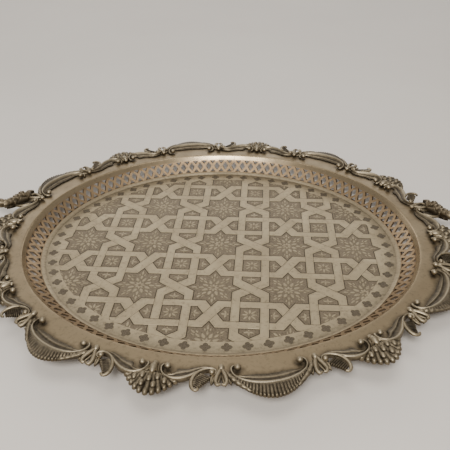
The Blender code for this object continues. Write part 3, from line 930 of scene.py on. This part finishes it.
def leaf(sculpt, spine, width, height):
    """A pointed leaf with a hollow midrib along a smooth spine."""
    line = smooth_path(spine, LEAF_ALONG)
    share = np.linspace(0, 1, LEAF_ALONG)
    half = width / 2 * np.sin(math.pi * (LEAF_START + (1 - LEAF_START) * share ** 0.85)) ** 0.75
    across = np.linspace(-1, 1, LEAF_ACROSS)
    flat = line[:, None, :] + sideways(line)[:, None, :] * (half[:, None] * across)[..., None]
    dome = np.sqrt(1 - 0.9 * across ** 2) - LEAF_GROOVE * np.exp(-(across / GROOVE_WIDTH) ** 2)
    level = spread(height, LEAF_ALONG)[:, None]
    top = level * (LEAF_SIDE + (1 - LEAF_SIDE) * dome)
    rib = LEAF_RIB_STAIN * np.exp(-(across / LEAF_RIB_WIDTH) ** 2)
    stain = np.clip(LEAF_EDGE_STAIN * across ** 2 + rib - LEAF_GLINT + 0 * level, 0, 1)
    under = np.full_like(top, LEAF_UNDER)
    loop = np.concatenate((raised(flat, top), raised(flat, under)[:, ::-1]), axis=1)
    mark = np.concatenate((stain, np.full_like(stain, UNDERSIDE_DARKNESS)), axis=1)
    sculpt.grid(loop * MM, mark, wrap=True)


def in_pitches(points):
    """Points given in lattice pitches, in millimetres."""
    return np.asarray(points) * PITCH / MM


def both_halves(points):
    """A line given by its left half up to the middle, with the mirror image of that half."""
    return in_pitches(list(points) + [(-x, out) for x, out in reversed(points[:-1])])


def shell_half():
    """Right half of a shell casting: S-scroll with a pearl in each end, and a fluted hook."""
    half = Sculpt()
    scroll = in_pitches([(0.096, 0.186), (0.080, 0.212), (0.078, 0.250), (0.096, 0.305), (0.140, 0.350),
                         (0.210, 0.375), (0.290, 0.367), (0.365, 0.330), (0.435, 0.274), (0.505, 0.226),
                         (0.570, 0.212), (0.618, 0.232), (0.630, 0.275), (0.603, 0.310), (0.566, 0.298)])
    wide = (0.6, 0.8, 1.2, 3.0, 5.8, 8.4, 8.8, 7.8, 6.2, 5.0, 3.6, 1.6, 0.9, 0.7, 0.6)
    tall = (1.6, 2.4, 3.0, 3.2, 3.2, 3.2, 3.1, 3.0, 3.0, 2.9, 2.7, 2.4)
    moulding(half, scroll, wide, tall)
    pearl(half, in_pitches((0.135, 0.222)), level=2.4, radius=2.0)
    pearl(half, in_pitches((0.585, 0.266)), level=2.2, radius=1.7)
    hook = in_pitches([(0.455, 0.272), (0.420, 0.318), (0.400, 0.375), (0.397, 0.430), (0.413, 0.478),
                       (0.445, 0.500), (0.468, 0.482)])
    tendril(half, hook, (0.8, 1.0, 1.1, 1.1, 1.1, 1.0, 0.8), (2.8, 2.6, 2.3, 2.0, 1.6, 1.4, 1.4))
    root = in_pitches([(0.480, 0.272), (0.440, 0.325), (0.415, 0.385), (0.412, 0.440)])
    edge = in_pitches([(0.585, 0.318), (0.545, 0.372), (0.502, 0.420), (0.466, 0.470)])
    lobes(half, root, edge, 8, (1.9, 1.5, 0.9), bulge=0.5, notch=0.16, tip=0.3, dark=0.96, glint=0.12)
    return half


# Knobs of the palmette: distance from its hub in pitches, count, radius, level, and half angle
KNOB_RINGS = ((0.105, 3, 1.7, 2.3, 0.80), (0.180, 4, 1.7, 1.9, 0.95))
PALMETTE_HUB = 0.315
KNOB_STRETCH = 1.5
KNOB_SHADE = 0.95


def shell_unit():
    """Shell casting: knobbed palmette between two S-scrolls."""
    unit = Sculpt()
    half = shell_half()
    unit.merge(half)
    unit.merge(half, mirror=True)
    root = both_halves([(-0.150, 0.355), (-0.08, 0.340), (0.0, 0.335)])
    edge = both_halves([(-0.285, 0.385), (-0.24, 0.435), (-0.17, 0.515), (-0.085, 0.582), (0.0, 0.608)])
    lobes(unit, root, edge, 11, (2.8, 2.4, 1.7, 0.8), bulge=0.65, notch=0.16, tip=0.6, dark=0.74, glint=0.16)
    for reach, count, radius, level, half_angle in KNOB_RINGS:
        for turn in np.linspace(-half_angle, half_angle, count):
            place = in_pitches((reach * math.sin(turn), PALMETTE_HUB + reach * math.cos(turn)))
            pearl(unit, place, level, radius, KNOB_STRETCH, KNOB_SHADE)
    pearl(unit, in_pitches((0.0, 0.275)), level=2.6, radius=2.2, stretch=2.0)
    pearl(unit, in_pitches((0.0, 0.200)), level=1.8, radius=1.7)
    for side in (-1, 1):
        stem = in_pitches([(0.026, 0.225), (0.044, 0.290), (0.080, 0.345)])
        leaf(unit, stem * (side, 1), 3.0, (2.2, 3.4, 3.6, 2.6))
    return unit


def junction_leaf():
    """Heart of two stems under a bud, with two leaves at each side, for the valleys of the border."""
    unit = Sculpt()
    for side in (-1, 1):
        stem = in_pitches([(0.006, 0.215), (0.020, 0.265), (0.042, 0.325), (0.052, 0.385), (0.036, 0.428),
                           (0.008, 0.420)])
        tendril(unit, stem * (side, 1), (0.9, 1.2, 1.3, 1.3, 1.1, 0.8), (2.4, 2.4, 2.2, 2.0, 1.8, 1.8))
        inner = in_pitches([(0.008, 0.22), (0.030, 0.32), (0.040, 0.43)])
        leaf(unit, inner * (side, 1), 3.6, (1.2, 1.4, 1.2, 0.8))
        outer = in_pitches([(0.030, 0.23), (0.078, 0.32), (0.094, 0.41)])
        leaf(unit, outer * (side, 1), 3.8, (1.2, 1.9, 1.7, 0.8))
    pearl(unit, in_pitches((0.0, 0.205)), level=2.2, radius=1.9, stretch=1.3)
    return unit


def scroll_unit():
    """C-scroll casting: coved arch with a pearl in each end, a fluted fan, and lumped side leaves."""
    unit = Sculpt()
    arch = [(-0.354, 0.166), (-0.374, 0.186), (-0.381, 0.215), (-0.376, 0.262), (-0.345, 0.322),
            (-0.280, 0.375), (-0.190, 0.412), (-0.095, 0.430), (0.0, 0.435)]
    wide = (0.6, 0.8, 1.6, 4.2, 6.4, 7.4, 7.8, 7.8)
    tall = (1.6, 2.4, 3.1, 3.3, 3.3, 3.3)
    moulding(unit, both_halves(arch), wide + wide[::-1], tall + tall[::-1], count=170)
    for side in (-1, 1):
        pearl(unit, in_pitches((side * 0.322, 0.206)), level=2.4, radius=2.1)
        lumps = in_pitches([(0.425, 0.285), (0.375, 0.355), (0.305, 0.430), (0.215, 0.512)])
        tendril(unit, lumps * (side, 1), (0.8, 1.6, 1.35, 1.7, 1.3, 1.6, 1.2, 1.4, 1.0, 1.2, 0.6),
                (2.0, 1.8, 1.6, 1.3, 0.9), count=66, shade=0.85)
    root = both_halves([(-0.355, 0.330), (-0.275, 0.392), (-0.14, 0.438), (0.0, 0.450)])
    edge = both_halves([(-0.385, 0.375), (-0.290, 0.455), (-0.185, 0.543), (-0.09, 0.592), (0.0, 0.608)])
    lobes(unit, root, edge, 25, (3.0, 2.8, 2.2, 1.4, 1.0), bulge=0.34, notch=0.07, tip=0.45, dark=0.88,
          glint=0.14)
    return unit


# Sides with a junction leaf: shells 2 and 6 leave that of their short bay to the shell before them
LEAF_SIDES = {"shell": (1, -1), "shell_2": (-1,), "shell_6": (-1,), "scroll": ()}
LEAF_OFFSET = 0.676 * PITCH


def border(castings):
    """Bend the castings to their stations round the rim."""
    valley = junction_leaf()
    for kind, unit, stations in castings:
        for index, along in enumerate(stations, 1):
            whole = Sculpt()
            whole.merge(unit)
            for side in LEAF_SIDES.get(f"{kind}_{index}", LEAF_SIDES[kind]):
                whole.merge(valley, shift=side * LEAF_OFFSET)
            make_piece(f"{kind}_casting_{index}", whole.bent(along, FLANGE_TOP), CASTING_METAL,
                       [f"border_{kind}_{index}"], CAST_SMOOTH)


# Handles, with places along the loop as shares of the way from its middle to its feet

GRIP_RADIUS = 2.8 * MM
ARM_HEIGHT = 4.6 * MM
GRIP_HEIGHT = 9.5 * MM
GRIP_REACH = 68.5 * MM
GRIP_HALF_WIDTH = 33.5 * MM
GRIP_STEPS = 360
GRIP_SIDES = 36
GRIP_STAIN = 0.22
GRIP_PAINTED_SHADING = 0.25
GRIP_COLLARS = ((0.22, 0.30), (0.255, 0.18), (0.57, 0.30), (0.60, 0.16))
COLLAR_WIDTH = 0.010
ARM_START = 0.55
ARM_SWELL = 0.22
SCALE_START = 0.60
SCALE_EASE = 0.05
SCALE_ROWS = 26
SCALE_WAVES = 2.5
SCALE_BASE = 0.10
SCALE_RISE = 0.34
SCALE_STAIN = 0.55
SCALE_GLINT = 0.95
REED_END = 0.20
REED_EASE = 0.02
REED_DEPTH = 0.07
REED_COUNT = 9
REED_GLINT = 2.5

# Half of the loop's route: shares of its reach, half width and lift
GRIP_ROUTE = ((0.438, 0.782, 0), (0.613, 0.782, 1 / 3), (0.818, 1.0, 2 / 3), (0.964, 0.806, 1), (1, 0, 1))

# Leaves of a handle's foot, in millimetres: tips and widths, root, knee and heights
FOOT_LEAVES = (((-15.0, 33.0), 5.0), ((11.0, 27.0), 5.0), ((-6.0, 35.0), 4.6), ((5.0, 32.5), 4.4))
FOOT_LEAF_ROOT = (0.0, 23.0)
FOOT_LEAF_KNEE = 28.0
FOOT_LEAF_SPREAD = 0.55
FOOT_LEAF_HEIGHTS = (4.0, 6.4, 5.0, 2.4)
FOOT_LIFT = 0.2 * MM


def grip_line():
    """Middle line of the loop, from foot to foot."""
    past, aside, lift = np.array(GRIP_ROUTE).T
    level = FLANGE_TOP + ARM_HEIGHT + lift * (GRIP_HEIGHT - ARM_HEIGHT)
    route = np.stack((FOLD_HALF_LENGTH + past * GRIP_REACH, aside * GRIP_HALF_WIDTH, level), axis=1)
    half = np.vstack((rim_points(FOOT_STATION, FOOT_REACH, FLANGE_TOP + ARM_HEIGHT), route))
    return smooth_path(np.concatenate((half, half[-2::-1] * (1, -1, 1))), GRIP_STEPS)


def grip_bar():
    """Bar of the loop: reeds in the middle, collars, and scales on the swelling arms."""
    line = grip_line()
    way = unit_length(np.gradient(line, axis=0))
    side = unit_length(np.cross(way, (0.0, 0.0, 1.0)))
    above = np.cross(side, way)
    share = np.abs(np.linspace(-1, 1, len(line)))
    thick = GRIP_RADIUS * (1.0 + ARM_SWELL * np.clip(share - ARM_START, 0, 1) / (1 - ARM_START))
    for collar, swell in GRIP_COLLARS:
        thick = thick * (1 + swell * np.exp(-((share - collar) / COLLAR_WIDTH) ** 2))
    turns = np.arange(GRIP_SIDES) * math.tau / GRIP_SIDES
    rows = share[:, None] * SCALE_ROWS
    scale = 1 - rows % 1.0
    lobe = np.abs(np.cos(SCALE_WAVES * turns + math.pi / 2 * np.floor(rows)))
    leafy = np.clip((share[:, None] - SCALE_START) / SCALE_EASE, 0, 1)
    reeded = np.clip((REED_END - share[:, None]) / REED_EASE, 0, 1)
    reeds = reeded * REED_DEPTH * np.cos(REED_COUNT * turns)
    relief = leafy * (SCALE_BASE + SCALE_RISE * scale * lobe) + reeds
    ring = side[:, None] * np.cos(turns)[:, None] + above[:, None] * np.sin(turns)[:, None]
    points = line[:, None] + ring * (thick[:, None] * (1 + relief))[..., None]
    # Painted shading: the bar lighter along its top and darker beneath; the reeds and scales carry painted
    # highlights
    stain = GRIP_STAIN - GRIP_PAINTED_SHADING * np.sin(turns) - REED_GLINT * reeds
    stain = stain + leafy * (SCALE_STAIN - SCALE_GLINT * scale * lobe)
    bar = Sculpt()
    bar.grid(points, np.clip(stain, 0, 1), wrap=True)
    return bar


def handle(name, end):
    """Loop handle at the right end, 1, or the left, -1: a bar with leaf feet on the flange's tabs."""
    foot = Sculpt()
    for tip, width in FOOT_LEAVES:
        spine = [FOOT_LEAF_ROOT, (tip[0] * FOOT_LEAF_SPREAD, FOOT_LEAF_KNEE), tip]
        leaf(foot, spine, width, FOOT_LEAF_HEIGHTS)
    grip = grip_bar()
    for sign in (1, -1):
        leaves = Sculpt()
        leaves.merge(foot, mirror=sign > 0)
        grip.merge(leaves.bent(sign * FOOT_STATION, FLANGE_TOP + FOOT_LIFT))
    grip.points = grip.points * (end, end, 1)
    make_piece(name, grip, HANDLE_METAL, [name.replace("_loop", "")], CAST_SMOOTH)


# Stage and camera

STUDIO_SIZE = 16.0
STUDIO_GAP = 0.2 * MM
WORLD_COLOUR = (0.90, 0.885, 0.86, 1.0)
WORLD_STRENGTH = 0.47
CLIP_START = 0.01

# Lights: name, place, width, height and power
STUDIO_LIGHTS = (("lamp", (-0.08, -0.95, 1.10), 0.50, 0.36, 17.0),
                 ("wall", (-0.45, 1.8, 0.90), 3.2, 1.0, 15.5),
                 ("top", (0.0, 0.1, 1.5), 1.0, 0.8, 7.0))


def stage():
    """Pale floor and soft lights."""
    bpy.ops.mesh.primitive_plane_add(size=STUDIO_SIZE, location=(0.0, 0.0, BASE_UNDER - STUDIO_GAP))
    ground = bpy.context.object
    ground.name = "studio_floor"
    ground.data.materials.append(pale_floor("studio_floor"))
    world = bpy.data.worlds.new("studio")
    bpy.context.scene.world = world
    world.use_nodes = True
    background = world.node_tree.nodes["Background"]
    background.inputs["Color"].default_value = WORLD_COLOUR
    background.inputs["Strength"].default_value = WORLD_STRENGTH
    for name, place, width, height, power in STUDIO_LIGHTS:
        light = bpy.data.lights.new(name, "AREA")
        light.shape = "RECTANGLE"
        light.size = width
        light.size_y = height
        light.energy = power
        lamp = bpy.data.objects.new(name, light)
        lamp.location = place
        lamp.rotation_euler = (-Vector(place)).to_track_quat("-Z", "Y").to_euler()
        bpy.context.scene.collection.objects.link(lamp)


def camera():
    """Camera of the photograph."""
    azimuth = Matrix.Rotation(CAMERA_AZIMUTH, 4, "Z")
    tilt = Matrix.Rotation(math.pi / 2 - CAMERA_ELEVATION, 4, "X")
    roll = Matrix.Rotation(CAMERA_ROLL, 4, "Z")
    data = bpy.data.cameras.new("camera")
    data.sensor_width = SENSOR
    data.lens = SENSOR * FOCAL_PIXELS / FRAME_PIXELS
    data.clip_start = CLIP_START
    eye = bpy.data.objects.new("camera", data)
    eye.matrix_world = Matrix.Translation(CAMERA_PLACE) @ azimuth @ tilt @ roll
    bpy.context.scene.collection.objects.link(eye)
    bpy.context.scene.camera = eye


# Build

floor_sheet()
strapwork("strapwork", STRAP_PROFILE, 0.0, BAND_RISE, BAND_METAL)
strapwork("strapwork_lines", LINE_PROFILE, LINE_EXTRA, LINE_RISE, OUTLINE)
engraved_motifs()
flower_ring()
gallery_strip("strip_right", -PERIMETER / 4)
gallery_strip("strip_left", PERIMETER / 4)
gallery_foot()
border_castings = (("shell", shell_unit(), SHELL_STATIONS), ("scroll", scroll_unit(), SCROLL_STATIONS))
flange(border_castings)
border(border_castings)
handle("handle_right_loop", 1)
handle("handle_left_loop", -1)
for node_name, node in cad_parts.items():
    if node_name.startswith("handle_screw"):
        node.data.materials.clear()
        node.data.materials.append(SCREW_METAL)
stage()
camera()
